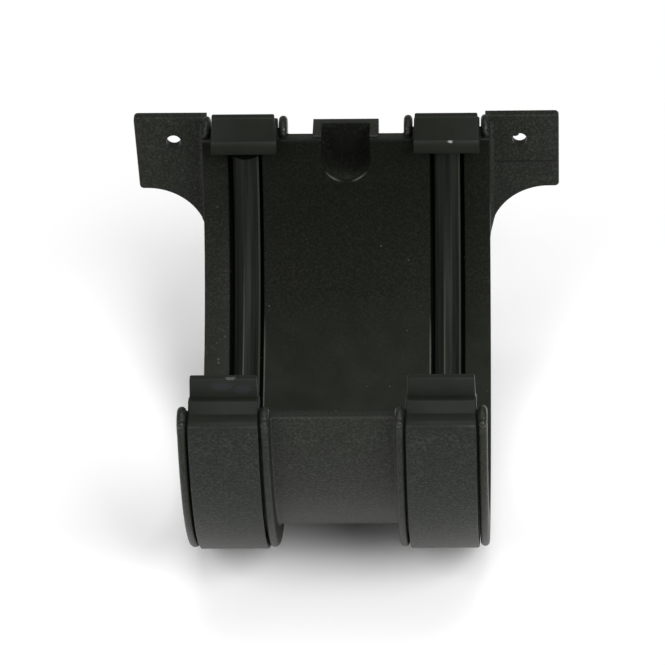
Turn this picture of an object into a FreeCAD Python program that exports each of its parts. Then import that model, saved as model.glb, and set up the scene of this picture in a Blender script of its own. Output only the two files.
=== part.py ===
"""Half-round gutter union with two snap straps and two rubber seals, in millimetres.

X runs along the gutter, +Y points at the fascia board and Z is up. The shapes are drawn about the axis of
the trough at rim level and then moved, so that the origin is midway between the two fascia screws, on the
plane of the board.
"""
import FreeCAD
import Part
import math
import os

V = FreeCAD.Vector

# Trough
BORE_RADIUS = 56.8
WALL = 2.7
RIM_ROUND = 0.7

# Ribs round the outside, in pairs that guide the straps
RIB_HEIGHT = 2.6
RIB_THICK = 2.05
RIB_CHAMFER_SHARE = 0.3
CHANNEL_CENTRE = 24.6
CHANNEL_WIDTH = 16.7
EAR_LENGTH = 7.8
EAR_RISE = 3.4
EAR_PROUD = 0.3
EAR_FOOT = 0.7

# Seal grooves across the inside
GROOVE_WIDTH = 8.0
GROOVE_DEPTH = 2.5
GROOVE_BACK = 3.0

# Fascia wings
FASCIA_RELIEF = 0.3
WING_THICK = 2.5
WING_HALF_SPAN = 51.9
WING_TOP = 2.6
WING_DEPTH = 20.6
WING_CORNER = 1.0
WING_TIP_LAND = 2.5
SCREW_INSET = 9.6
SCREW_HOLE_RADIUS = 1.8
SCREW_DROP = 4.4

# Screw pocket behind the rear wall
POCKET_WIDTH = 11.8
POCKET_WALL = 2.1
POCKET_DEPTH = 11.4
POCKET_BACK = 2.2
POCKET_RISE = 0.5

# Retaining straps
STRAP_SIDE_GAP = 0.35
STRAP_SEAT_GAP = 0.2
STRAP_THICK = 2.8
LEG_RISE = 1.8
LEG_CHAMFER = 0.5
RAMP_FOOT_OUT = 3.8
RAMP_FOOT_RISE = 1.6
RAMP_TOP_OUT = 2.2
RAMP_TOP_RISE = 3.2
TAB_FOOT_IN = 0.4
TAB_FOOT_RISE = 3.1
TAB_TOP_IN = 0.7
TAB_TOP_WIDTH = 2.0
TAB_RISE = 8.0
TAB_SIDE_INSET = 0.4
RIDGE_IN = 3.5
RIDGE_RISE = 1.6
NOSE_IN = 4.6
NOSE_RISE = -0.3
NOSE_DROP = 1.5

# Rubber seals
SEAL_WIDTH = 5.8
SEAL_SEAT_GAP = 0.05
SEAL_SIDE_HEIGHT = 1.5
SEAL_HEIGHT = 3.3
SEAL_RIDGE = 1.7
SEAL_END_GAP = 0.6
LEFT_SEAL_REAR_GAP = 3.8
LEFT_SEAL_SKEW = 0.6

TROUGH_RADIUS = BORE_RADIUS + WALL
LENGTH = 2 * CHANNEL_CENTRE + CHANNEL_WIDTH + 2 * RIB_THICK
GROOVE_RADIUS = BORE_RADIUS + GROOVE_DEPTH
CHANNEL_RADIUS = GROOVE_RADIUS + GROOVE_BACK
RIB_RADIUS = CHANNEL_RADIUS + RIB_HEIGHT
RIB_CHAMFER = RIB_CHAMFER_SHARE * RIB_THICK
STRAP_BORE = CHANNEL_RADIUS + STRAP_SEAT_GAP
STRAP_RADIUS = STRAP_BORE + STRAP_THICK
STRAP_WIDTH = CHANNEL_WIDTH - 2 * STRAP_SIDE_GAP
FASCIA_Y = max(RIB_RADIUS, STRAP_RADIUS) + FASCIA_RELIEF
SCREW_X = WING_HALF_SPAN - SCREW_INSET
WING_SWEEP_RADIUS = WING_HALF_SPAN - WING_TIP_LAND - LENGTH / 2
INNER_RIB = CHANNEL_CENTRE - (CHANNEL_WIDTH + RIB_THICK) / 2
OUTER_RIB = CHANNEL_CENTRE + (CHANNEL_WIDTH + RIB_THICK) / 2
TO_SCREWS = V(0, -FASCIA_Y, SCREW_DROP)
AXIS = V(1, 0, 0)
ORIGIN = V(0, 0, 0)
SIDES = (("left", -1), ("right", 1))
OVERLAP = 1.0


def wire(start, steps):
    """Closed wire from a start point. A step is an end point, or a mid and an end point for an arc."""
    edges = []
    here = start
    for step in steps:
        if isinstance(step, tuple):
            middle, end = step
            edges.append(Part.Arc(here, middle, end).toShape())
        else:
            end = step
            edges.append(Part.LineSegment(here, end).toShape())
        here = end
    edges.append(Part.LineSegment(here, start).toShape())
    return Part.Wire(edges)


def half_turn(profile):
    """Sweep a profile of (x, radius) points from the rear rim, under the trough, to the front rim."""
    return Part.Face(profile).revolve(ORIGIN, AXIS, -180)


def half_ring(x_low, x_high, inner, outer):
    """Half ring of plain rectangular section."""
    corners = [V(x_high, inner, 0), V(x_high, outer, 0), V(x_low, outer, 0)]
    return half_turn(wire(V(x_low, inner, 0), corners))


def keep_outside(shape):
    """Shape without whatever would stand in the bore of the trough."""
    reach = 2 * LENGTH
    return shape.cut(Part.makeCylinder(BORE_RADIUS + WALL / 2, reach, V(-reach / 2, 0, 0), AXIS))


def trough():
    """Plain half-round channel with rounded rims."""
    channel = half_ring(-LENGTH / 2, LENGTH / 2, BORE_RADIUS, TROUGH_RADIUS)
    rims = [edge for edge in channel.Edges
            if edge.BoundBox.XLength > LENGTH / 2 and edge.BoundBox.ZLength < RIM_ROUND]
    return channel.makeFillet(RIM_ROUND, rims)


def rib(centre):
    """Half ring rib with chamfered edges."""
    half = RIB_THICK / 2
    flat = half - RIB_CHAMFER
    shoulder = RIB_RADIUS - RIB_CHAMFER
    root = BORE_RADIUS + WALL / 2
    corners = [
        V(centre - half, shoulder, 0),
        V(centre - flat, RIB_RADIUS, 0),
        V(centre + flat, RIB_RADIUS, 0),
        V(centre + half, shoulder, 0),
        V(centre + half, root, 0),
    ]
    return half_turn(wire(V(centre - half, root, 0), corners))


def ear(centre, end):
    """Round-topped ear that carries a rib end up past the rim, a little proud of the rib."""
    radius = EAR_LENGTH / 2
    middle = end * (RIB_RADIUS + EAR_PROUD - radius)
    shoulder = EAR_RISE - radius
    foot = shoulder - EAR_FOOT
    left = centre - RIB_THICK / 2
    steps = [
        V(left, middle + radius, shoulder),
        (V(left, middle, EAR_RISE), V(left, middle - radius, shoulder)),
        V(left, middle - radius, foot),
    ]
    blank = Part.Face(wire(V(left, middle + radius, foot), steps)).extrude(V(RIB_THICK, 0, 0))
    flanks = [edge for edge in blank.Edges
              if edge.BoundBox.XLength < RIB_THICK / 2 and edge.CenterOfMass.z > foot + EAR_FOOT / 4]
    return blank.makeChamfer(RIB_CHAMFER, flanks)


def wing(side):
    """Fascia wing whose lower edge sweeps into the trough end, and the cheek that ties it to the trough."""
    front = FASCIA_Y - WING_THICK
    root = OUTER_RIB
    low = WING_TOP - WING_DEPTH
    tip = WING_HALF_SPAN - WING_TIP_LAND
    bottom = low - WING_SWEEP_RADIUS
    diagonal = WING_SWEEP_RADIUS * math.sqrt(0.5)
    arc_middle = V(side * (tip - diagonal), front, bottom + diagonal)
    steps = [
        V(side * WING_HALF_SPAN, front, WING_TOP),
        V(side * WING_HALF_SPAN, front, low),
        V(side * tip, front, low),
        (arc_middle, V(side * LENGTH / 2, front, bottom)),
        V(side * root, front, bottom),
    ]
    plate = Part.Face(wire(V(side * root, front, WING_TOP), steps)).extrude(V(0, WING_THICK, 0))
    corners = [edge for edge in plate.Edges if edge.BoundBox.YLength > WING_THICK / 2
               and abs(edge.CenterOfMass.x) > WING_HALF_SPAN - WING_TIP_LAND / 2]
    plate = plate.makeFillet(WING_CORNER, corners)
    cheek_y = BORE_RADIUS / 2
    cheek = Part.makeBox(RIB_THICK / 2, FASCIA_Y - cheek_y, -bottom)
    cheek.translate(V(min(side * root, side * LENGTH / 2), cheek_y, bottom))
    hole = Part.makeCylinder(SCREW_HOLE_RADIUS, WING_THICK * 3,
                             V(side * SCREW_X, front - WING_THICK, -SCREW_DROP), V(0, 1, 0))
    return plate.fuse(keep_outside(cheek)).cut(hole)


def u_block(half_width, depth, rise, y_low, y_high):
    """Block with a half-round lower end, running along Y."""
    centre = half_width - depth
    steps = [
        V(-half_width, y_low, centre),
        (V(0, y_low, -depth), V(half_width, y_low, centre)),
        V(half_width, y_low, rise),
    ]
    return Part.Face(wire(V(-half_width, y_low, rise), steps)).extrude(V(0, y_high - y_low, 0))


def union_body():
    """The moulding: trough, ribs, ears, wings, pocket and grooves."""
    pieces = []
    for _, side in SIDES:
        low = side * CHANNEL_CENTRE - CHANNEL_WIDTH / 2 - RIB_THICK / 2
        pieces.append(half_ring(low, low + CHANNEL_WIDTH + RIB_THICK, BORE_RADIUS, CHANNEL_RADIUS))
        for centre in (side * INNER_RIB, side * OUTER_RIB):
            pieces.append(rib(centre))
            pieces.extend(ear(centre, end) for end in (-1, 1))
        pieces.append(wing(side))
    outer_width = POCKET_WIDTH / 2 + POCKET_WALL
    block = u_block(outer_width, POCKET_DEPTH + POCKET_WALL, POCKET_RISE, BORE_RADIUS / 2, FASCIA_Y)
    pieces.append(keep_outside(block))
    body = trough().fuse(pieces)
    for _, side in SIDES:
        low = side * CHANNEL_CENTRE - GROOVE_WIDTH / 2
        body = body.cut(half_ring(low, low + GROOVE_WIDTH, BORE_RADIUS - OVERLAP, GROOVE_RADIUS))
    recess = u_block(POCKET_WIDTH / 2, POCKET_DEPTH, POCKET_RISE + OVERLAP, BORE_RADIUS / 2,
                     FASCIA_Y - POCKET_BACK)
    return body.cut(recess).removeSplitter()


def strap(side):
    """Snap strap: a half ring with a hook over each rim and a thumb tab on each hook."""
    left = side * CHANNEL_CENTRE - STRAP_WIDTH / 2

    def hook(end):
        """Points of one hook from the outside of the leg to the inside of the leg."""
        points = [
            (STRAP_RADIUS, 0),
            (STRAP_RADIUS, LEG_RISE - LEG_CHAMFER),
            (STRAP_RADIUS - LEG_CHAMFER, LEG_RISE),
            (BORE_RADIUS + RAMP_FOOT_OUT, RAMP_FOOT_RISE),
            (BORE_RADIUS + RAMP_TOP_OUT, RAMP_TOP_RISE),
            (BORE_RADIUS - TAB_FOOT_IN, TAB_FOOT_RISE),
            (BORE_RADIUS - TAB_TOP_IN, TAB_RISE),
            (BORE_RADIUS - TAB_TOP_IN - TAB_TOP_WIDTH, TAB_RISE),
            (BORE_RADIUS - RIDGE_IN, RIDGE_RISE),
            (BORE_RADIUS - NOSE_IN, NOSE_RISE),
            (BORE_RADIUS - NOSE_IN, -NOSE_DROP),
            (BORE_RADIUS - STRAP_SEAT_GAP, -NOSE_DROP),
            (BORE_RADIUS - STRAP_SEAT_GAP, STRAP_SEAT_GAP),
            (STRAP_BORE, STRAP_SEAT_GAP),
            (STRAP_BORE, 0),
        ]
        return [V(left, end * radius, height) for radius, height in points]

    front = hook(-1)
    rear = hook(1)
    steps = front[1:]
    steps.append((V(left, 0, -STRAP_BORE), rear[-1]))
    steps.extend(reversed(rear[:-1]))
    outer_arc = Part.Arc(rear[0], V(left, 0, -STRAP_RADIUS), front[0]).toShape()
    edges = wire(front[0], steps).Edges[:-1]
    edges.append(outer_arc)
    blank = Part.Face(Part.Wire(edges)).extrude(V(STRAP_WIDTH, 0, 0))
    for trim_left in (left, left + STRAP_WIDTH - TAB_SIDE_INSET):
        trim = Part.makeBox(TAB_SIDE_INSET, 2 * STRAP_RADIUS, TAB_RISE)
        trim.translate(V(trim_left, -STRAP_RADIUS, RAMP_TOP_RISE))
        blank = blank.cut(trim)
    return blank


def seal(side, rear_gap):
    """Rubber strip of gabled section, lying on the groove floor between the two hooks."""
    centre = side * CHANNEL_CENTRE
    floor = GROOVE_RADIUS - SEAL_SEAT_GAP
    shoulder = floor - SEAL_SIDE_HEIGHT
    crest = floor - SEAL_HEIGHT
    steps = [
        V(centre - SEAL_WIDTH / 2, shoulder, 0),
        V(centre - SEAL_RIDGE / 2, crest, 0),
        V(centre + SEAL_RIDGE / 2, crest, 0),
        V(centre + SEAL_WIDTH / 2, shoulder, 0),
        V(centre + SEAL_WIDTH / 2, floor, 0),
    ]
    strip = half_turn(wire(V(centre - SEAL_WIDTH / 2, floor, 0), steps))
    reach = 2 * BORE_RADIUS
    for y_low, gap in ((-reach, SEAL_END_GAP), (0, rear_gap)):
        above = Part.makeBox(LENGTH, reach, BORE_RADIUS)
        above.translate(V(centre - LENGTH / 2, y_low, -NOSE_DROP - gap))
        strip = strip.cut(above)
    return strip


os.makedirs("parts", exist_ok=True)
shapes = {"union_body": union_body()}
for name, side in SIDES:
    shapes[name + "_strap"] = strap(side)
shapes["left_seal"] = seal(-1, LEFT_SEAL_REAR_GAP)
shapes["right_seal"] = seal(1, SEAL_END_GAP)
shapes["left_seal"].rotate(V(-CHANNEL_CENTRE, 0, 0), V(0, 0, 1), -LEFT_SEAL_SKEW)
for name, shape in shapes.items():
    shape.translate(TO_SCREWS)
    print(name, shape.isValid(), len(shape.Solids), round(shape.Volume, 1))
    shape.exportStep("parts/" + name + ".step")
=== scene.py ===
"""Looks of a half-round gutter union: moulded body, two snap straps and two rubber seals, in metres."""
import math

import bmesh
import bpy
from mathutils import Matrix, Vector


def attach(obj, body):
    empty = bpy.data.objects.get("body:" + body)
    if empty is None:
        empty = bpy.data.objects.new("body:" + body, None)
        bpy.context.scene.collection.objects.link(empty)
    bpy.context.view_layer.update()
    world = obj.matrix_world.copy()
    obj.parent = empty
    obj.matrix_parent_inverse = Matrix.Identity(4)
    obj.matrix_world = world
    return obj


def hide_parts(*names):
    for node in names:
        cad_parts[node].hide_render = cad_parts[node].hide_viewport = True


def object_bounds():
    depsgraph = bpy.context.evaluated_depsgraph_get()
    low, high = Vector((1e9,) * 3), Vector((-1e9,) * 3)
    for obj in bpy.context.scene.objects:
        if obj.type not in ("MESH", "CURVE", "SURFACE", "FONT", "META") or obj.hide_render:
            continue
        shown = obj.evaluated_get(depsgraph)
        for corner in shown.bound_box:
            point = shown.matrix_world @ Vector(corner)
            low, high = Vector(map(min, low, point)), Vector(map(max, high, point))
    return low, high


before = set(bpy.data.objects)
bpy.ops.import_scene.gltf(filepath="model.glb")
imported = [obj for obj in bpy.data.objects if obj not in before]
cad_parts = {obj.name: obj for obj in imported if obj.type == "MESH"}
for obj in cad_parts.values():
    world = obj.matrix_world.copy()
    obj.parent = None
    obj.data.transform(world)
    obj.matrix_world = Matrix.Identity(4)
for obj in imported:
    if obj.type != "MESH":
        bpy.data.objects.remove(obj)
cad_box = [list(corner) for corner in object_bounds()]

# Trough and ribs
# The carrier of the union: a half-round channel with four ribs round its outside and a groove for each seal.
# It is injection moulded in anthracite PVC, polished inside and spark-eroded outside.
MM = 0.001
AXIS_POINT = Vector((0, -65.6, 4.4)) * MM
BORE = 56.8 * MM
TROUGH_OUTSIDE = 59.5 * MM
GROOVE_FLOOR = 59.3 * MM
CHANNEL_FLOOR = 62.3 * MM
RIB_OUTSIDE = 64.9 * MM
RIB_THICK = 2.05 * MM
CHANNEL_CENTRE = 24.6 * MM
CHANNEL_WIDTH = 16.7 * MM
GROOVE_WIDTH = 8.3 * MM
RIB_ROOT_FILLET = 0.6 * MM
EDGE_BREAK = 0.3 * MM
RIM_ROUND = 0.6 * MM
LONG_EDGE = 3 * MM
NEAR = 0.01 * MM
MERGE_GAP = 0.001 * MM
FULL_ROUND = 0.49
RIB_STEPS = 7
FILLET_STEPS = 4
BREAK_STEPS = 3
TURN_STEPS = 120
SHARP_ANGLE = math.radians(32)
ALONG = Vector((1, 0, 0))


def outline(bm, points):
    """Closed flat face through a few points."""
    return bm.faces.new([bm.verts.new(point) for point in points])


def round_corners(bm, corners, size, segments):
    """Round the corners of a flat outline."""
    bmesh.ops.bevel(bm, geom=corners, offset=size, offset_type="OFFSET", affect="VERTICES",
                    segments=segments, profile=0.5, material=-1)


def break_edges(bm, edges, size, segments):
    """Round a set of edges."""
    bmesh.ops.bevel(bm, geom=edges, offset=size, offset_type="OFFSET", affect="EDGES",
                    segments=segments, profile=0.5, material=-1)


def finish_mesh(bm, name):
    """Merge doubles, face everything outwards and make an object with smooth faces and crisp edges."""
    bmesh.ops.remove_doubles(bm, verts=bm.verts, dist=MERGE_GAP)
    bmesh.ops.recalc_face_normals(bm, faces=bm.faces)
    mesh = bpy.data.meshes.new(name)
    bm.to_mesh(mesh)
    bm.free()
    mesh.shade_smooth()
    mesh.set_sharp_from_angle(angle=SHARP_ANGLE)
    made = bpy.data.objects.new(name, mesh)
    bpy.context.scene.collection.objects.link(made)
    return made


def section_place(x, radius):
    """Point of the section at the rear rim."""
    return AXIS_POINT + Vector((x, radius, 0))


def corners_at(bm, radius):
    """Corners of the section at one distance from the axis."""
    return [v for v in bm.verts if abs(v.co.y - AXIS_POINT.y - radius) < NEAR]


def sweep_section(bm, angle, steps):
    """Turn the open section round the trough's axis and close both ends with a face."""
    bmesh.ops.delete(bm, geom=bm.faces[:], context="FACES_ONLY")
    first_edges = bm.edges[:]
    swept = bmesh.ops.spin(bm, geom=bm.verts[:] + first_edges, cent=AXIS_POINT, axis=ALONG, angle=angle,
                           steps=steps, use_merge=False)
    last_edges = [item for item in swept["geom_last"] if isinstance(item, bmesh.types.BMEdge)]
    ends = bmesh.ops.edgeloop_fill(bm, edges=first_edges)["faces"]
    return ends + bmesh.ops.edgeloop_fill(bm, edges=last_edges)["faces"]


channel_inner = CHANNEL_CENTRE - CHANNEL_WIDTH / 2
channel_outer = CHANNEL_CENTRE + CHANNEL_WIDTH / 2
half_length = channel_outer + RIB_THICK
rib_inner = channel_inner - RIB_THICK
groove_inner = CHANNEL_CENTRE - GROOVE_WIDTH / 2
groove_outer = CHANNEL_CENTRE + GROOVE_WIDTH / 2
half_section = [
    (groove_inner, BORE), (groove_inner, GROOVE_FLOOR), (groove_outer, GROOVE_FLOOR), (groove_outer, BORE),
    (half_length, BORE), (half_length, RIB_OUTSIDE), (channel_outer, RIB_OUTSIDE),
    (channel_outer, CHANNEL_FLOOR), (channel_inner, CHANNEL_FLOOR), (channel_inner, RIB_OUTSIDE),
    (rib_inner, RIB_OUTSIDE), (rib_inner, TROUGH_OUTSIDE),
]
section = half_section + [(-x, radius) for x, radius in reversed(half_section)]
bm = bmesh.new()
outline(bm, [section_place(x, radius) for x, radius in section])
round_corners(bm, corners_at(bm, RIB_OUTSIDE), RIB_THICK * FULL_ROUND, RIB_STEPS)
round_corners(bm, corners_at(bm, TROUGH_OUTSIDE), RIB_ROOT_FILLET, FILLET_STEPS)
round_corners(bm, corners_at(bm, BORE), EDGE_BREAK, BREAK_STEPS)
rims = sweep_section(bm, -math.pi, TURN_STEPS)
rim_edges = [edge for face in rims for edge in face.edges if edge.calc_length() > LONG_EDGE]
break_edges(bm, rim_edges, RIM_ROUND, FILLET_STEPS)
body = finish_mesh(bm, "union_body_skin")

# Ears on the rib ends
# Each rib ends in a round-topped ear that stands above the rim and keeps a strap from sliding along.
# They are part of the same moulding, fully rounded, with a small shiny pip left by the mould on one face.
EAR_THICK = 2.1 * MM
EAR_RISE = 3.4 * MM
EAR_INSIDE = 57.4 * MM
EAR_OUTSIDE = 65.2 * MM
EAR_DROP = 1.8 * MM
EAR_STEPS = 24
EAR_EDGE_STEPS = 6
PIP_RADIUS = 1.0 * MM
PIP_PLACE = {-1: (64.55 * MM, 1.5 * MM), 1: (58.3 * MM, 0.8 * MM)}
BALL_LEVELS = 3


def combine(target, tool, operation):
    """Join a closed shell to a mesh, or cut it out, and keep the result as one mesh."""
    step = target.modifiers.new("combine", "BOOLEAN")
    step.operation = operation
    step.solver = "EXACT"
    step.object = tool
    shown = target.evaluated_get(bpy.context.evaluated_depsgraph_get())
    mesh = bpy.data.meshes.new_from_object(shown)
    target.modifiers.clear()
    target.data = mesh
    bpy.data.objects.remove(tool)


def join_up(bm, corners):
    """Draw a line from corner to corner."""
    for first, second in zip(corners, corners[1:]):
        bm.edges.new((first, second))


def arc(bm, start, centre, axis, angle, steps):
    """Draw an arc from a corner and give back the corner where it ends."""
    turned = bmesh.ops.spin(bm, geom=[start], cent=centre, axis=axis, angle=angle, steps=steps)
    return next(item for item in turned["geom_last"] if isinstance(item, bmesh.types.BMVert))


def fill_outline(bm):
    """Face inside the closed line drawn so far."""
    return bmesh.ops.edgeloop_fill(bm, edges=bm.edges[:])["faces"][0]


def thicken(bm, face, depth):
    """Give a flat outline its depth and return the edges round its two flat sides."""
    grown = bmesh.ops.extrude_face_region(bm, geom=[face])["geom"]
    bmesh.ops.translate(bm, verts=[v for v in grown if isinstance(v, bmesh.types.BMVert)], vec=depth)
    far_face = next(item for item in grown if isinstance(item, bmesh.types.BMFace))
    return far_face.edges[:] + face.edges[:]


ear_radius = (EAR_OUTSIDE - EAR_INSIDE) / 2
ear_middle = (EAR_OUTSIDE + EAR_INSIDE) / 2
rib_centres = [side * (edge + RIB_THICK / 2) for side in (-1, 1) for edge in (rib_inner, channel_outer)]
for rib_centre in rib_centres:
    for end in (-1, 1):
        bm = bmesh.new()
        centre = AXIS_POINT + Vector((rib_centre - EAR_THICK / 2, end * ear_middle, EAR_RISE - ear_radius))
        start = bm.verts.new(centre + Vector((0, ear_radius, 0)))
        stop = arc(bm, start, centre, ALONG, math.pi, EAR_STEPS)
        feet = [bm.verts.new((v.co.x, v.co.y, AXIS_POINT.z - EAR_DROP)) for v in (start, stop)]
        join_up(bm, [start, *feet, stop])
        ear_edges = thicken(bm, fill_outline(bm), ALONG * EAR_THICK)
        break_edges(bm, ear_edges, EAR_THICK * FULL_ROUND, EAR_EDGE_STEPS)
        combine(body, finish_mesh(bm, "ear"), "UNION")

        bm = bmesh.new()
        pip_radius, pip_height = PIP_PLACE[end]
        pip_centre = AXIS_POINT + Vector((rib_centre, end * pip_radius, pip_height))
        bmesh.ops.create_icosphere(bm, subdivisions=BALL_LEVELS, radius=PIP_RADIUS,
                                   matrix=Matrix.Translation(pip_centre))
        combine(body, finish_mesh(bm, "pip"), "UNION")

# Fascia wings
# Two flat plates that lie on the fascia board and take a screw each, swept down into the trough ends.
# They belong to the moulding, tied to the outer ribs by a cheek and a fillet.
# One hole has a little flash left in it.
WING_THICK = 2.5 * MM
WING_HALF_SPAN = 51.9 * MM
WING_TOP = 2.6 * MM
WING_LOW = -18.0 * MM
WING_LAND = 2.5 * MM
WING_CORNER = 1.0 * MM
WING_CORNER_STEPS = 6
WING_TIP_DRAFT = {-1: 0.8 * MM, 1: 0}
WING_EDGE = 0.35 * MM
CHEEK_SHARE = 0.4
FASCIA_GAP = 0.02 * MM
ROOT_FILLET = 1.25 * MM
ROOT_FILLET_TOP = 1.2 * MM
ROOT_FILLET_STEPS = 8
HOLE_RADIUS = 1.8 * MM
HOLE_SPACING = 84.6 * MM
HOLE_STEPS = 40
FLASH_RADIUS = 0.9 * MM
FLASH_PLACE = Vector((41.2, -1.9, 1.3)) * MM
FLASH_SHAPE = (1.1, 0.3, 0.75)
SWEEP_STEPS = 24
BACKWARD = Vector((0, 1, 0))
UPWARD = Vector((0, 0, 1))
wing_front = -WING_THICK
wing_root = half_length - RIB_THICK / 2
wing_tip = WING_HALF_SPAN - WING_LAND
wing_sweep = wing_tip - half_length
wing_bottom = WING_LOW - wing_sweep
cheek_face = half_length - CHEEK_SHARE * EDGE_BREAK


def wing_point(x, height):
    """Point on the front face of a wing, with its height from the rim."""
    return Vector((x, wing_front, AXIS_POINT.z + height))


for side in (-1, 1):
    mirrored = Matrix.Scale(side, 4, ALONG)
    bm = bmesh.new()
    corners = [(wing_root, wing_bottom), (wing_root, WING_TOP), (WING_HALF_SPAN, WING_TOP),
               (WING_HALF_SPAN - WING_TIP_DRAFT[side], WING_LOW), (wing_tip, WING_LOW)]
    ring = [bm.verts.new(wing_point(x, height)) for x, height in corners]
    join_up(bm, ring)
    stop = arc(bm, ring[-1], wing_point(wing_tip, wing_bottom), BACKWARD, -math.pi / 2, SWEEP_STEPS)
    join_up(bm, [stop, ring[0]])
    fill_outline(bm)
    round_corners(bm, ring[2:4], WING_CORNER, WING_CORNER_STEPS)
    wing_face = bm.faces[:][0]
    break_edges(bm, thicken(bm, wing_face, BACKWARD * WING_THICK), WING_EDGE, BREAK_STEPS)
    bmesh.ops.transform(bm, matrix=mirrored, verts=bm.verts)
    combine(body, finish_mesh(bm, "wing"), "UNION")

    bm = bmesh.new()
    cheek_low = Vector((half_length - RIB_THICK + EDGE_BREAK, AXIS_POINT.y + BORE + WING_THICK, 0))
    cheek_size = Vector((RIB_THICK - (1 + CHEEK_SHARE) * EDGE_BREAK, -FASCIA_GAP - cheek_low.y,
                         -wing_bottom - EDGE_BREAK))
    cheek_centre = cheek_low + cheek_size / 2
    cheek_centre.z = AXIS_POINT.z - cheek_size.z / 2
    bmesh.ops.create_cube(bm, size=1)
    bmesh.ops.scale(bm, vec=cheek_size, verts=bm.verts)
    bmesh.ops.translate(bm, vec=cheek_centre, verts=bm.verts)
    bmesh.ops.transform(bm, matrix=mirrored, verts=bm.verts)
    combine(body, finish_mesh(bm, "cheek"), "UNION")

    bm = bmesh.new()
    fillet_centre = Vector((cheek_face + ROOT_FILLET, wing_front - ROOT_FILLET, AXIS_POINT.z + wing_bottom))
    arc_start = bm.verts.new(fillet_centre - ALONG * ROOT_FILLET)
    arc_stop = arc(bm, arc_start, fillet_centre, UPWARD, -math.pi / 2, ROOT_FILLET_STEPS)
    buried = WING_THICK / 3
    tucked = [bm.verts.new(arc_stop.co + BACKWARD * buried),
              bm.verts.new(arc_start.co + Vector((-buried, ROOT_FILLET + buried, 0))),
              bm.verts.new(arc_start.co - ALONG * buried)]
    join_up(bm, [arc_stop, *tucked, arc_start])
    fillet_face = fill_outline(bm)
    lower_end = fillet_face.verts[:]
    thicken(bm, fillet_face, UPWARD * (ROOT_FILLET_TOP - wing_bottom))
    for v in lower_end:
        v.co.z += math.sqrt(max(0, wing_sweep ** 2 - (wing_tip - v.co.x) ** 2))
    bmesh.ops.transform(bm, matrix=mirrored, verts=bm.verts)
    combine(body, finish_mesh(bm, "root_fillet"), "UNION")

    bm = bmesh.new()
    turn_to_wing = Matrix.Translation((side * HOLE_SPACING / 2, wing_front / 2, 0))
    turn_to_wing = turn_to_wing @ Matrix.Rotation(math.pi / 2, 4, "X")
    bmesh.ops.create_cone(bm, cap_ends=True, segments=HOLE_STEPS, radius1=HOLE_RADIUS, radius2=HOLE_RADIUS,
                          depth=3 * WING_THICK, matrix=turn_to_wing)
    combine(body, finish_mesh(bm, "screw_hole"), "DIFFERENCE")

bm = bmesh.new()
bmesh.ops.create_icosphere(bm, subdivisions=BALL_LEVELS, radius=FLASH_RADIUS,
                           matrix=Matrix.Translation(FLASH_PLACE))
bmesh.ops.scale(bm, vec=FLASH_SHAPE, verts=bm.verts, space=Matrix.Translation(-FLASH_PLACE))
combine(body, finish_mesh(bm, "flash"), "UNION")

# Screw pocket
# A U-shaped pocket behind the rear wall, open at the top and to the inside, that reaches the fascia board.
# It is moulded with the body and has a thin back wall.
POCKET_HALF = 5.9 * MM
POCKET_WALL = 2.1 * MM
POCKET_DEPTH = 11.4 * MM
POCKET_BACK = 2.2 * MM
POCKET_RISE = 0.5 * MM
POCKET_FRONT = 57.6 * MM
POCKET_STEPS = 28
MOUTH_ROUND = 0.3 * MM
MOUTH_NEAR = 0.05 * MM


def u_block(half_width, depth, rise, y_low, y_high, edge_size):
    """Closed block with a half-round lower end, running back along Y."""
    bm = bmesh.new()
    centre = Vector((0, y_low, AXIS_POINT.z + half_width - depth))
    start = bm.verts.new(centre + ALONG * half_width)
    stop = arc(bm, start, centre, BACKWARD, math.pi, POCKET_STEPS)
    tops = [bm.verts.new((v.co.x, y_low, AXIS_POINT.z + rise)) for v in (start, stop)]
    join_up(bm, [start, *tops, stop])
    block_edges = thicken(bm, fill_outline(bm), BACKWARD * (y_high - y_low))
    if edge_size:
        break_edges(bm, block_edges, edge_size, BREAK_STEPS)
    return finish_mesh(bm, "pocket")


def at_mouth(point):
    """Whether a point lies where the pocket opens into the bore, below the rim."""
    offset = point - AXIS_POINT
    near_bore = abs(math.hypot(offset.y, offset.z) - BORE) < MOUTH_NEAR
    behind = offset.y > 0 and offset.z < -2 * RIM_ROUND
    return near_bore and behind and abs(offset.x) < POCKET_HALF + MOUTH_NEAR


outer_pocket = u_block(POCKET_HALF + POCKET_WALL, POCKET_DEPTH + POCKET_WALL, POCKET_RISE,
                       AXIS_POINT.y + POCKET_FRONT, 0, EDGE_BREAK)
combine(body, outer_pocket, "UNION")
recess = u_block(POCKET_HALF, POCKET_DEPTH, POCKET_RISE + WING_THICK, AXIS_POINT.y + BORE / 2,
                 -POCKET_BACK, 0)
combine(body, recess, "DIFFERENCE")
bm = bmesh.new()
bm.from_mesh(body.data)
mouth = [edge for edge in bm.edges if edge.calc_face_angle(0) > SHARP_ANGLE
         and all(at_mouth(v.co) for v in edge.verts)]
break_edges(bm, mouth, MOUTH_ROUND, BREAK_STEPS)
bm.to_mesh(body.data)
bm.free()
body.data.shade_smooth()
body.data.set_sharp_from_angle(angle=SHARP_ANGLE)

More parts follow.
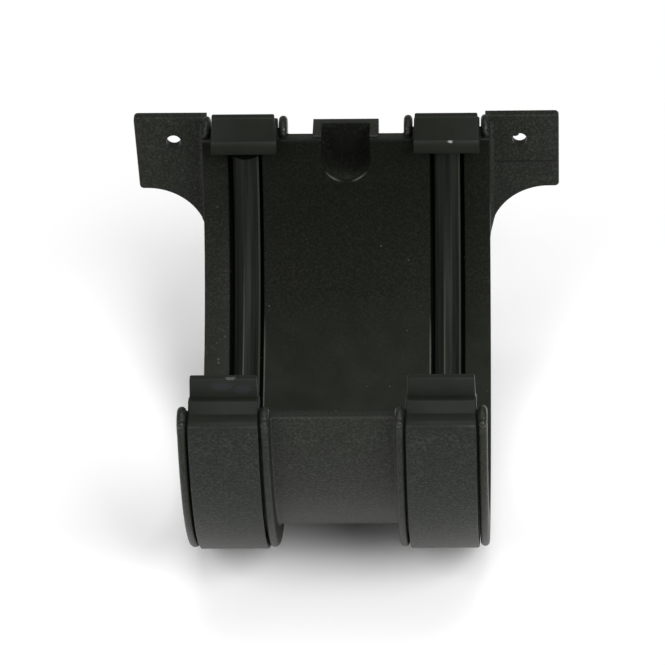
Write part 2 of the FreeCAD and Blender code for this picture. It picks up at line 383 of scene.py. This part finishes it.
# Finish of the moulding
# Anthracite PVC from a mould that was spark-eroded for the outside and polished for the bore.
# The outside is matt with fine pale flecks; the bore is smoother, darkened by painted shade, lighter low
# down as painted sheen, with near-black painted shade in its grooves and pocket and painted highlights on a
# few edges.
# The third tone is for the smooth lower bore: it has less grain, and it is lighter than the matt tones as
# painted sheen on the upward-facing bottom.
BODY_TONES = ("#151711", "#292c25", "#2d3029")
# Painted shade: the bore's colour is multiplied by this factor, which darkens it.
BODY_BORE_PAINTED_SHADE = 0.68
BODY_MATT_HEIGHTS = (-57 * MM, -36 * MM)
BODY_POLISH_HEIGHTS = (-0.8 * MM, -0.3 * MM)
BODY_POLISH_GLOSS = 0.25
# Painted shade: near black in the seal grooves, in the gaps beside the seals, where gloss is also lowered.
GROOVE_SHADE_TONE = "#080806"
DUST_TONE = "#4c4f48"
CRUMB_TONE = "#61655f"
# Painted highlights: the pale lines on the pocket's lower lip and low on the inner edges of the seal
# grooves.
GLINT_TONE = "#464943"
BLACK = "#000000"
WITNESS_LINE = ((44.2, 63.1, -10.65), (15.0, 4.0, 0.36), "#0c0d0b")
# Painted shade: the inside of the pocket darkened to near black.
POCKET_PAINTED_SHADE = ((0, 61.5, -5.0), (9.0, 6.5, 10.0), "#0d0e0b")
# The real grain is about 0.1 mm wide, and is drawn coarser here so that it shows.
GRIT = 0.55 * MM
GRIT_DEPTH = 0.1 * MM
MOTTLE = 7.0 * MM
DUST_SPACING = 4.0 * MM
CRUMB_SPACING = 1.5 * MM
TORN_EDGE = 0.7 * MM
# Each pair is where a mask begins and where it is full, or its two strengths.
# Heights, radii and sides are measured from the trough axis at rim level.
UNIT = (0.0, 1.0)
FLECK_NOISE = (0.42, 0.78)
MOTTLE_NOISE = (0.3, 0.7)
MOTTLE_STRENGTH = (0.55, 1.0)
TORN_REACH = (1.4, 1.0)
DUST_REACH = (0.045, 0.03)
CRUMB_REACH = (0.24, 0.1)
CRUMB_HEIGHTS = (-38 * MM, -50 * MM)
CRUMB_RADII = (BORE + 0.3 * MM, BORE + 0.1 * MM)
SKIN_RADII = (BORE + 0.4 * MM, BORE + 1.2 * MM)
EDGE_RADII = (BORE + 0.6 * MM, BORE + 0.3 * MM)
STRIP_SIDES = (-groove_outer, -groove_outer - 0.5 * MM)
STRIP_STRENGTH = (0.0, 0.4)
STRIP_HEIGHTS = (-4 * MM, -12 * MM)
GROOVE_SHADE_HALF = GROOVE_WIDTH / 2 + 0.02 * MM
GROOVE_SHADE_RADII = (BORE + 0.3 * MM, BORE + 0.6 * MM)
GROOVE_SHADE_FLOOR = GROOVE_FLOOR + 0.1 * MM
GROOVE_SHADE_TOP = -1 * MM
GROOVE_SHADE_GLOSS = (1.0, 0.1)
LIP_GAPS = (0.22 * MM, 0.06 * MM)
LIP_DROPS = (-0.55 * POCKET_HALF, -0.85 * POCKET_HALF)
LIP_SIDES = (0.2 * POCKET_HALF, 0.5 * POCKET_HALF)
BRINK_GAPS = (0.3 * MM, 0.1 * MM)
BRINK_START = (-40 * MM, -46 * MM)
BRINK_STOP = (-56.5 * MM, -53 * MM)
POLISH_HALF = 35.4 * MM
POLISH_SMOOTHING = (0.0, 0.1)
BORE_TO_OUTSIDE = {"fleck": (0.5, 1.0), "rough": (0.5, 0.44), "gloss": (0.03, 0.13),
                   "fleck_gloss": (0.07, 0.1), "bump": (0.35, 1.0)}


def linear(code):
    """Colour from an sRGB hex code."""
    channels = [int(code[i:i + 2], 16) / 255 for i in (1, 3, 5)]
    return [c / 12.92 if c <= 0.04045 else ((c + 0.055) / 1.055) ** 2.4 for c in channels] + [1.0]


def node(tree, kind, sockets, **settings):
    """Add a node with its settings, set or link its sockets by name or in order, and give its outputs."""
    made = tree.nodes.new("ShaderNode" + kind)
    for name, value in settings.items():
        setattr(made, name, value)
    for name, value in sockets.items() if isinstance(sockets, dict) else enumerate(sockets):
        if isinstance(value, bpy.types.NodeSocket):
            tree.links.new(value, made.inputs[name])
        else:
            made.inputs[name].default_value = value
    return made.outputs


def blank_material(name):
    """Material with an empty node tree."""
    material = bpy.data.materials.new(name)
    material.use_nodes = True
    material.node_tree.nodes.clear()
    return material


def axis_place(tree):
    """Object coordinates measured from the trough axis at rim level."""
    place = node(tree, "TexCoord", [])["Object"]
    return node(tree, "VectorMath", [place, AXIS_POINT], operation="SUBTRACT")[0]


def overlap(tree, *masks):
    """Mask that holds where all of the given masks hold."""
    shared = masks[0]
    for mask in masks[1:]:
        shared = node(tree, "Math", [shared, mask], operation="MULTIPLY")[0]
    return shared


def lay_over(tree, colour, layers):
    """Colour with other tones laid over it in turn, each through its own mask; the tones are flecks, stains,
    painted shade and painted highlights.
    """
    for mask, layer_tone in layers:
        colour = node(tree, "Mix", {"Factor": mask, "A": colour, "B": linear(layer_tone)},
                      data_type="RGBA")["Result"]
    return colour


def torn_patch(tree, place, centre, reach):
    """Mask of an oval patch with torn edges, for scuffs, nicks, a witness line and the pocket's painted
    shade.
    """
    offset = node(tree, "VectorMath", [place, Vector(centre) * MM], operation="SUBTRACT")[0]
    scaled = node(tree, "VectorMath", [offset, Vector(reach) * MM], operation="DIVIDE")[0]
    distance = node(tree, "VectorMath", [scaled], operation="LENGTH")["Value"]
    ragged = node(tree, "TexNoise", {"Vector": place, "Scale": 1 / TORN_EDGE, "Detail": 3.0})["Fac"]
    torn = node(tree, "Math", [distance, ragged], operation="ADD")[0]
    return node(tree, "MapRange", [torn, *TORN_REACH])[0]


def groove_painted_shade(tree, off_groove, radius, height):
    """Mask of the near-black painted shade on the floors and walls of the seal grooves, in the gaps beside
    the seals.
    """
    return overlap(tree, node(tree, "Math", [off_groove, GROOVE_SHADE_HALF], operation="LESS_THAN")[0],
                   node(tree, "MapRange", [radius, *GROOVE_SHADE_RADII])[0],
                   node(tree, "Math", [radius, GROOVE_SHADE_FLOOR], operation="LESS_THAN")[0],
                   node(tree, "Math", [height, GROOVE_SHADE_TOP], operation="LESS_THAN")[0])


def strip_crumbs(tree, place, strip, radius, height):
    """Mask of the crumbs of dirt low on the left end strip of the bore."""
    spots = node(tree, "TexVoronoi", {"Vector": place, "Scale": 1 / CRUMB_SPACING})["Distance"]
    return overlap(tree, node(tree, "MapRange", [spots, *CRUMB_REACH])[0],
                   node(tree, "MapRange", [height, *CRUMB_HEIGHTS])[0],
                   node(tree, "MapRange", [radius, *CRUMB_RADII])[0], strip)


def pocket_lip_highlight(tree, parts, aside, radius):
    """Mask of the painted highlight along the lower lip of the pocket, on both sides of its lowest point."""
    below = node(tree, "Math", [parts["Z"], POCKET_HALF - POCKET_DEPTH], operation="SUBTRACT")[0]
    from_bend = node(tree, "CombineXYZ", {"X": parts["X"], "Z": below})[0]
    bend = node(tree, "VectorMath", [from_bend], operation="LENGTH")["Value"]
    off_edge = node(tree, "Math", [bend, POCKET_HALF + MOUTH_ROUND / 2], operation="SUBTRACT")[0]
    edge_gap = node(tree, "Math", [off_edge], operation="ABSOLUTE")[0]
    return overlap(tree, node(tree, "MapRange", [edge_gap, *LIP_GAPS])[0],
                   node(tree, "MapRange", [radius, *EDGE_RADII])[0],
                   node(tree, "Math", [parts["Y"], 0.0], operation="GREATER_THAN")[0],
                   node(tree, "MapRange", [below, *LIP_DROPS])[0],
                   node(tree, "MapRange", [aside, *LIP_SIDES])[0])


def groove_brink_highlight(tree, off_groove, aside, radius, height):
    """Mask of the painted highlight low on the inner edge of each seal groove."""
    off_edge = node(tree, "Math", [off_groove, GROOVE_WIDTH / 2 + EDGE_BREAK / 2], operation="SUBTRACT")[0]
    edge_gap = node(tree, "Math", [off_edge], operation="ABSOLUTE")[0]
    return overlap(tree, node(tree, "MapRange", [edge_gap, *BRINK_GAPS])[0],
                   node(tree, "MapRange", [radius, *EDGE_RADII])[0],
                   node(tree, "Math", [aside, CHANNEL_CENTRE], operation="LESS_THAN")[0],
                   node(tree, "MapRange", [height, *BRINK_START])[0],
                   node(tree, "MapRange", [height, *BRINK_STOP])[0])


def moulded_pvc(name, tones, bore_painted_shade, joining, matt_heights, polish_heights, polish_gloss, marks_and_shade):
    """PVC from a spark-eroded mould: matt and finely flecked outside, smoother where it was polished, with
    painted shade and painted highlights laid over the colour.
    """
    material = blank_material(name)
    tree = material.node_tree
    place = axis_place(tree)
    parts = node(tree, "SeparateXYZ", [place])
    height = parts["Z"]
    in_section = node(tree, "VectorMath", [place, (0, 1, 1)], operation="MULTIPLY")[0]
    radius = node(tree, "VectorMath", [in_section], operation="LENGTH")["Value"]
    aside = node(tree, "Math", [parts["X"]], operation="ABSOLUTE")[0]
    from_groove = node(tree, "Math", [aside, CHANNEL_CENTRE], operation="SUBTRACT")[0]
    off_groove = node(tree, "Math", [from_groove], operation="ABSOLUTE")[0]

    within = node(tree, "Math", [aside, POLISH_HALF], operation="LESS_THAN")[0]
    polished = overlap(tree, within, node(tree, "MapRange", [height, *polish_heights])[0])
    # The left end strip of the bore takes part of the outer finish, and so less of the bore's painted shade.
    strip = overlap(tree, node(tree, "MapRange", [parts["X"], *STRIP_SIDES, *STRIP_STRENGTH])[0],
                    node(tree, "MapRange", [height, *STRIP_HEIGHTS])[0])
    skin = node(tree, "MapRange", [radius, *SKIN_RADII])[0]
    outside = node(tree, "Math", [skin, strip], operation="MAXIMUM")[0]
    raised = node(tree, "MapRange", [height, *matt_heights])[0]
    matt = node(tree, "Math", [outside, raised], operation=joining)[0]
    spans = dict(BORE_TO_OUTSIDE, shade=(bore_painted_shade, 1.0))
    finish = {use: node(tree, "MapRange", [outside, *UNIT, *span])[0] for use, span in spans.items()}

    grit = node(tree, "TexNoise", {"Vector": place, "Scale": 1 / GRIT, "Detail": 2.0,
                                   "Roughness": 0.6})["Fac"]
    mottle = node(tree, "TexNoise", {"Vector": place, "Scale": 1 / MOTTLE, "Detail": 3.0})["Fac"]
    patchy = node(tree, "MapRange", [mottle, *MOTTLE_NOISE, *MOTTLE_STRENGTH])[0]
    fleck = overlap(tree, node(tree, "MapRange", [grit, *FLECK_NOISE])[0], finish["fleck"])
    dark, light, smooth = tones
    matt_colour = lay_over(tree, linear(dark), [(overlap(tree, fleck, patchy), light)])
    # On the body this tone covers the smooth lower bore, and its lightness there is painted sheen.
    smooth_and_sheen_colour = lay_over(tree, linear(dark), [(patchy, smooth)])
    clean = node(tree, "Mix", {"Factor": matt, "A": smooth_and_sheen_colour, "B": matt_colour},
                 data_type="RGBA")["Result"]
    # Painted shade: the bore's colour is darkened towards black.
    shaded = node(tree, "Mix", {"Factor": finish["shade"], "A": linear(BLACK), "B": clean},
                  data_type="RGBA")["Result"]

    groove_shade = groove_painted_shade(tree, off_groove, radius, height)
    specks = node(tree, "TexVoronoi", {"Vector": place, "Scale": 1 / DUST_SPACING})["Distance"]
    lip = pocket_lip_highlight(tree, parts, aside, radius)
    brink = groove_brink_highlight(tree, off_groove, aside, radius, height)
    glint = node(tree, "Math", [lip, brink], operation="MAXIMUM")[0]
    layers = [(groove_shade, GROOVE_SHADE_TONE), (node(tree, "MapRange", [specks, *DUST_REACH])[0], DUST_TONE),
              (strip_crumbs(tree, place, strip, radius, height), CRUMB_TONE)]
    layers += [(torn_patch(tree, place, centre, reach), layer_tone) for centre, reach, layer_tone in marks_and_shade]
    colour = lay_over(tree, shaded, layers + [(glint, GLINT_TONE)])

    smoothing = node(tree, "MapRange", [polished, *UNIT, *POLISH_SMOOTHING])[0]
    rough = node(tree, "Math", [finish["rough"], smoothing], operation="SUBTRACT")[0]
    fleck_gloss = overlap(tree, fleck, matt, finish["fleck_gloss"])
    matt_gloss = node(tree, "Math", [finish["gloss"], fleck_gloss], operation="ADD")[0]
    gloss = node(tree, "Mix", {"Factor": polished, "A": matt_gloss, "B": polish_gloss})[0]
    clean_gloss = overlap(tree, gloss, node(tree, "MapRange", [groove_shade, *UNIT, *GROOVE_SHADE_GLOSS])[0])
    bump = node(tree, "Bump", {"Strength": overlap(tree, matt, finish["bump"]), "Distance": GRIT_DEPTH,
                               "Height": grit})[0]
    shader = node(tree, "BsdfPrincipled", {"Base Color": colour, "Roughness": rough, "Normal": bump,
                                           "Specular IOR Level": clean_gloss})[0]
    node(tree, "OutputMaterial", {"Surface": shader})
    return material


body_pvc = moulded_pvc("anthracite_pvc", BODY_TONES, BODY_BORE_PAINTED_SHADE, "MAXIMUM", BODY_MATT_HEIGHTS,
                       BODY_POLISH_HEIGHTS, BODY_POLISH_GLOSS, [WITNESS_LINE, POCKET_PAINTED_SHADE])
body.data.materials.clear()
body.data.materials.append(body_pvc)
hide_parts("union_body")
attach(body, "root")

# Retaining straps
# U-shaped snap straps that lie between each pair of ribs and hook over both rims to hold the gutter down.
# Each is a separate PVC moulding with smooth hooks and tabs; handling has scuffed and nicked them.
STRAP_BORE = 62.5 * MM
STRAP_OUTSIDE = 65.3 * MM
STRAP_WIDTH = 16.0 * MM
STRAP_STEPS = 96
STRAP_EDGE = 0.35 * MM
HOOK = [(65.1, 0.8), (64.5, 1.4), (63.6, 1.75), (60.6, 1.6), (58.0, 3.3), (56.4, 3.2), (53.1, 1.7),
        (52.2, -0.3), (52.2, -1.5), (56.6, -1.5), (56.6, 0.2), (62.5, 0.2)]
TAB = [(56.5, 1.2), (56.1, 8.0), (54.1, 8.0), (53.25, 1.2)]
TAB_HALF_WIDTHS = (7.8 * MM, 7.6 * MM)
STRAP_TONES = ("#131611", "#272b25", "#1c1f1a")
# Painted shade factor for strap faces near the bore; 1.0 darkens nothing.
STRAP_BORE_PAINTED_SHADE = 1.0
STRAP_MATT_HEIGHTS = (2.2 * MM, -1.0 * MM)
STRAP_POLISH_HEIGHTS = (0.5 * MM, 1.5 * MM)
STRAP_POLISH_GLOSS = 0.1
SCUFF_LEFT = ((-24.8, -56.2, 6.2), (3.4, 1.2, 1.5), "#212526")
SCUFF_RIGHT = ((-20.2, -56.2, 5.4), (2.6, 1.2, 1.6), "#202424")
EDGE_NICK = ((-22.9, -55.6, 8.0), (1.7, 0.8, 0.35), "#434741")
RIDGE_NICK = ((25.5, 53.1, 1.5), (0.9, 0.4, 0.5), "#7f827d")
STRAP_MARKS = {"left_strap": [SCUFF_LEFT, SCUFF_RIGHT, EDGE_NICK], "right_strap": [RIDGE_NICK]}


def tab_block(outlines):
    """Closed block between the two side outlines of a tab, with rounded edges."""
    bm = bmesh.new()
    for points in outlines:
        outline(bm, points)
    bmesh.ops.bridge_loops(bm, edges=bm.edges[:])
    bmesh.ops.recalc_face_normals(bm, faces=bm.faces)
    break_edges(bm, bm.edges[:], STRAP_EDGE, BREAK_STEPS)
    return finish_mesh(bm, "tab")


for name, side in (("left_strap", -1), ("right_strap", 1)):
    bm = bmesh.new()
    strap_centre = AXIS_POINT + ALONG * side * CHANNEL_CENTRE
    strap_left = strap_centre - ALONG * STRAP_WIDTH / 2
    ends = []
    for end in (-1, 1):
        hook = [bm.verts.new(strap_left + Vector((0, end * radius, height)) * MM) for radius, height in HOOK]
        ends.append([bm.verts.new(strap_left + BACKWARD * end * STRAP_OUTSIDE)] + hook
                    + [bm.verts.new(strap_left + BACKWARD * end * STRAP_BORE)])
        join_up(bm, ends[-1])
    for index in (0, -1):
        arc(bm, ends[1][index], AXIS_POINT, ALONG, -math.pi, STRAP_STEPS)
    bmesh.ops.remove_doubles(bm, verts=bm.verts, dist=NEAR)
    thicken(bm, fill_outline(bm), ALONG * STRAP_WIDTH)
    bmesh.ops.recalc_face_normals(bm, faces=bm.faces)
    crisp = [edge for edge in bm.edges if edge.calc_face_angle(0) > SHARP_ANGLE]
    break_edges(bm, crisp, STRAP_EDGE, BREAK_STEPS)
    strap = finish_mesh(bm, name + "_skin")
    for end in (-1, 1):
        outlines = []
        for hand in (-1, 1):
            halves = [TAB_HALF_WIDTHS[height > TAB[0][1]] for _, height in TAB]
            outlines.append([strap_centre + Vector((hand * half, end * radius * MM, height * MM))
                             for half, (radius, height) in zip(halves, TAB)])
        combine(strap, tab_block(outlines), "UNION")
    strap.data.shade_smooth()
    strap.data.set_sharp_from_angle(angle=SHARP_ANGLE)
    strap_pvc = moulded_pvc(name + "_pvc", STRAP_TONES, STRAP_BORE_PAINTED_SHADE, "MULTIPLY", STRAP_MATT_HEIGHTS,
                            STRAP_POLISH_HEIGHTS, STRAP_POLISH_GLOSS, STRAP_MARKS[name])
    strap.data.materials.clear()
    strap.data.materials.append(strap_pvc)
    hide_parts(name)
    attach(strap, "root")

# Rubber seals
# A gabled strip of black rubber in each groove, which the gutter end is pressed against.
# They are extruded, cut to length and laid in by hand, so the left one lies a little skew.
SEAL_WIDTH = 6.3 * MM
SEAL_RIDGE = 1.7 * MM
SEAL_FLOOR = 59.25 * MM
SEAL_SHOULDER = 57.75 * MM
SEAL_CREST = 55.95 * MM
SEAL_ROUND = 0.15 * MM
SEAL_ENDS = {"left_seal": (-5.3 * MM, -2.1 * MM), "right_seal": (-2.1 * MM, -2.1 * MM)}
SEAL_STEPS = 100
SEAL_SKEW = {"left_seal": math.radians(-0.15), "right_seal": 0.0}
RUBBER_TONES = ("#0d0f0b", "#191c16")
# Painted highlights: a pale tone along one shoulder of each seal and low down on one edge of its ridge.
SEAL_HIGHLIGHT_TONE = "#42463e"
# The drawn lines of the real rubber are finer, and are drawn coarser here so that they show.
SEAL_LINES = 0.45 * MM
LINE_STRETCH = (1, 0.02, 0.02)
LINE_NOISE = (0.35, 0.65)
SHOULDER_SIDES = (SEAL_WIDTH / 2 - 0.55 * MM, SEAL_WIDTH / 2 - 0.4 * MM)
SHOULDER_STRENGTH = (0.0, 0.5)
FLANK_SIDES = (SEAL_WIDTH / 2 - 0.01 * MM, SEAL_WIDTH / 2 - 0.05 * MM)
CORNER_GAPS = (0.25 * MM, 0.1 * MM)
CORNER_HEIGHTS = (-30 * MM, -52 * MM)
seal_section = [(-SEAL_WIDTH / 2, SEAL_FLOOR), (-SEAL_WIDTH / 2, SEAL_SHOULDER),
                (-SEAL_RIDGE / 2, SEAL_CREST), (SEAL_RIDGE / 2, SEAL_CREST),
                (SEAL_WIDTH / 2, SEAL_SHOULDER), (SEAL_WIDTH / 2, SEAL_FLOOR)]


def seal_rubber(name, centre, skew):
    """EPDM rubber, extruded: near black, with fine lines drawn along its length, and painted highlights
    along one shoulder and low on one edge of the ridge.
    """
    material = blank_material(name + "_rubber")
    tree = material.node_tree
    place = axis_place(tree)
    straight = node(tree, "VectorRotate", {"Vector": place, "Center": ALONG * centre, "Angle": -skew},
                    rotation_type="Z_AXIS")[0]
    parts = node(tree, "SeparateXYZ", [straight])
    across = node(tree, "Math", [parts["X"], centre], operation="SUBTRACT")[0]
    aside = node(tree, "Math", [across], operation="ABSOLUTE")[0]
    from_corner = node(tree, "Math", [across, SEAL_RIDGE / 2], operation="ADD")[0]
    corner_gap = node(tree, "Math", [from_corner], operation="ABSOLUTE")[0]
    # Painted highlight along one shoulder, and low down on one edge of the ridge.
    shoulder = overlap(tree, node(tree, "MapRange", [across, *SHOULDER_SIDES, *SHOULDER_STRENGTH])[0],
                       node(tree, "MapRange", [aside, *FLANK_SIDES])[0])
    corner = overlap(tree, node(tree, "MapRange", [corner_gap, *CORNER_GAPS])[0],
                     node(tree, "MapRange", [parts["Z"], *CORNER_HEIGHTS])[0])
    seal_highlight = node(tree, "Math", [shoulder, corner], operation="MAXIMUM")[0]
    stretched = node(tree, "VectorMath", [straight, LINE_STRETCH], operation="MULTIPLY")[0]
    lines = node(tree, "TexNoise", {"Vector": stretched, "Scale": 1 / SEAL_LINES, "Detail": 2.0})["Fac"]
    drawn = node(tree, "MapRange", [lines, *LINE_NOISE])[0]
    colour = lay_over(tree, linear(RUBBER_TONES[0]), [(drawn, RUBBER_TONES[1]), (seal_highlight, SEAL_HIGHLIGHT_TONE)])
    shader = node(tree, "BsdfPrincipled", {"Base Color": colour, "Roughness": 0.5,
                                           "Specular IOR Level": 0.12})[0]
    node(tree, "OutputMaterial", {"Surface": shader})
    return material


for name, side in (("left_seal", -1), ("right_seal", 1)):
    bm = bmesh.new()
    outline(bm, [section_place(side * CHANNEL_CENTRE + x, radius) for x, radius in seal_section])
    round_corners(bm, bm.verts[:], SEAL_ROUND, BREAK_STEPS)
    rear_angle, front_angle = (math.asin(-height / SEAL_FLOOR) for height in SEAL_ENDS[name])
    bmesh.ops.rotate(bm, verts=bm.verts, cent=AXIS_POINT, matrix=Matrix.Rotation(-rear_angle, 3, "X"))
    sweep_section(bm, rear_angle + front_angle - math.pi, SEAL_STEPS)
    bmesh.ops.rotate(bm, verts=bm.verts, cent=AXIS_POINT + ALONG * side * CHANNEL_CENTRE,
                     matrix=Matrix.Rotation(SEAL_SKEW[name], 3, "Z"))
    seal = finish_mesh(bm, name + "_skin")
    seal.data.materials.append(seal_rubber(name, side * CHANNEL_CENTRE, SEAL_SKEW[name]))
    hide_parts(name)
    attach(seal, "root")

# Table top, light and camera
# The union stands on a plain white table under two soft lamps in front and a panel above it.
# The camera looks at it from the front; none of this belongs to the part.
TABLE_HALF = 4.0
TABLE_TONE = "#fbfbfb"
WHITE = "#ffffff"
CLEAR_CENTRE = Vector((0, 25, -65)) * MM
CLEAR_REACH = Vector((85, 130, 1000)) * MM
CLEAR_EDGE = (0.7, 1.2)
SKY_STRENGTH = 0.3
LAMPS = {"right_lamp": ((0.55, -0.84, 0.72), 0.6, 12.5), "left_lamp": ((-0.6, -0.84, 0.72), 0.6, 6.5),
         "top_panel": ((0.1, 0.0, 1.1), 0.8, 4)}
bm = bmesh.new()
bmesh.ops.create_grid(bm, x_segments=1, y_segments=1, size=TABLE_HALF)
bmesh.ops.translate(bm, verts=bm.verts, vec=UPWARD * cad_box[0][2])
floor = finish_mesh(bm, "table_top")
paint = blank_material("white_table")
tree = paint.node_tree
from_clear = node(tree, "VectorMath", [axis_place(tree), CLEAR_CENTRE], operation="SUBTRACT")[0]
scaled = node(tree, "VectorMath", [from_clear, CLEAR_REACH], operation="DIVIDE")[0]
distance = node(tree, "VectorMath", [scaled], operation="LENGTH")["Value"]
clear = overlap(tree, node(tree, "LightPath", [])["Is Camera Ray"],
                node(tree, "MapRange", [distance, *CLEAR_EDGE])[0])
matt_white = node(tree, "BsdfDiffuse", {"Color": linear(TABLE_TONE)})[0]
pure_white = node(tree, "Emission", {"Color": linear(WHITE), "Strength": 1.0})[0]
surface = node(tree, "MixShader", [clear, matt_white, pure_white])[0]
node(tree, "OutputMaterial", {"Surface": surface})
floor.data.materials.append(paint)

world = bpy.data.worlds.new("studio")
bpy.context.scene.world = world
world.use_nodes = True
world.node_tree.nodes["Background"].inputs["Color"].default_value = linear(WHITE)
world.node_tree.nodes["Background"].inputs["Strength"].default_value = SKY_STRENGTH
for name, (place, size, watts) in LAMPS.items():
    lamp = bpy.data.lights.new(name, "AREA")
    lamp.shape = "SQUARE"
    lamp.size = size
    lamp.energy = watts
    holder = bpy.data.objects.new(name, lamp)
    holder.location = place
    holder.rotation_euler = (AXIS_POINT - Vector(place)).to_track_quat("-Z", "Y").to_euler()
    bpy.context.scene.collection.objects.link(holder)

CAMERA_DISTANCE = 1310.5 * MM
CAMERA_PITCH = math.radians(33.87)
CAMERA_YAW = math.radians(-2.45)
CAMERA_ROLL = math.radians(-1.71)
FOCAL_PIXELS = 5584.67
IMAGE_PIXELS = 665
AXIS_PIXEL = (339.16, 269.72)
SENSOR_WIDTH = 36
FAR_CLIP = 20
forward = Vector((math.sin(CAMERA_YAW) * math.cos(CAMERA_PITCH),
                  math.cos(CAMERA_YAW) * math.cos(CAMERA_PITCH), -math.sin(CAMERA_PITCH)))
level_right = forward.cross(UPWARD).normalized()
level_up = level_right.cross(forward)
right = level_right * math.cos(CAMERA_ROLL) + level_up * math.sin(CAMERA_ROLL)
up = level_up * math.cos(CAMERA_ROLL) - level_right * math.sin(CAMERA_ROLL)
camera_place = AXIS_POINT - forward * CAMERA_DISTANCE
pixels_right = IMAGE_PIXELS / 2 - AXIS_PIXEL[0]
pixels_down = IMAGE_PIXELS / 2 - AXIS_PIXEL[1]
aim = (forward + (right * pixels_right - up * pixels_down) / FOCAL_PIXELS).normalized()
aim_right = (right - aim * right.dot(aim)).normalized()
aim_up = aim_right.cross(aim)
turned = Matrix((aim_right, aim_up, -aim)).transposed().to_4x4()
camera = bpy.data.objects.new("camera", bpy.data.cameras.new("camera"))
camera.data.sensor_width = SENSOR_WIDTH
camera.data.lens = FOCAL_PIXELS / IMAGE_PIXELS * SENSOR_WIDTH
camera.data.clip_end = FAR_CLIP
camera.matrix_world = Matrix.Translation(camera_place) @ turned
bpy.context.scene.collection.objects.link(camera)
bpy.context.scene.camera = camera
bpy.context.scene.view_settings.view_transform = "Standard"
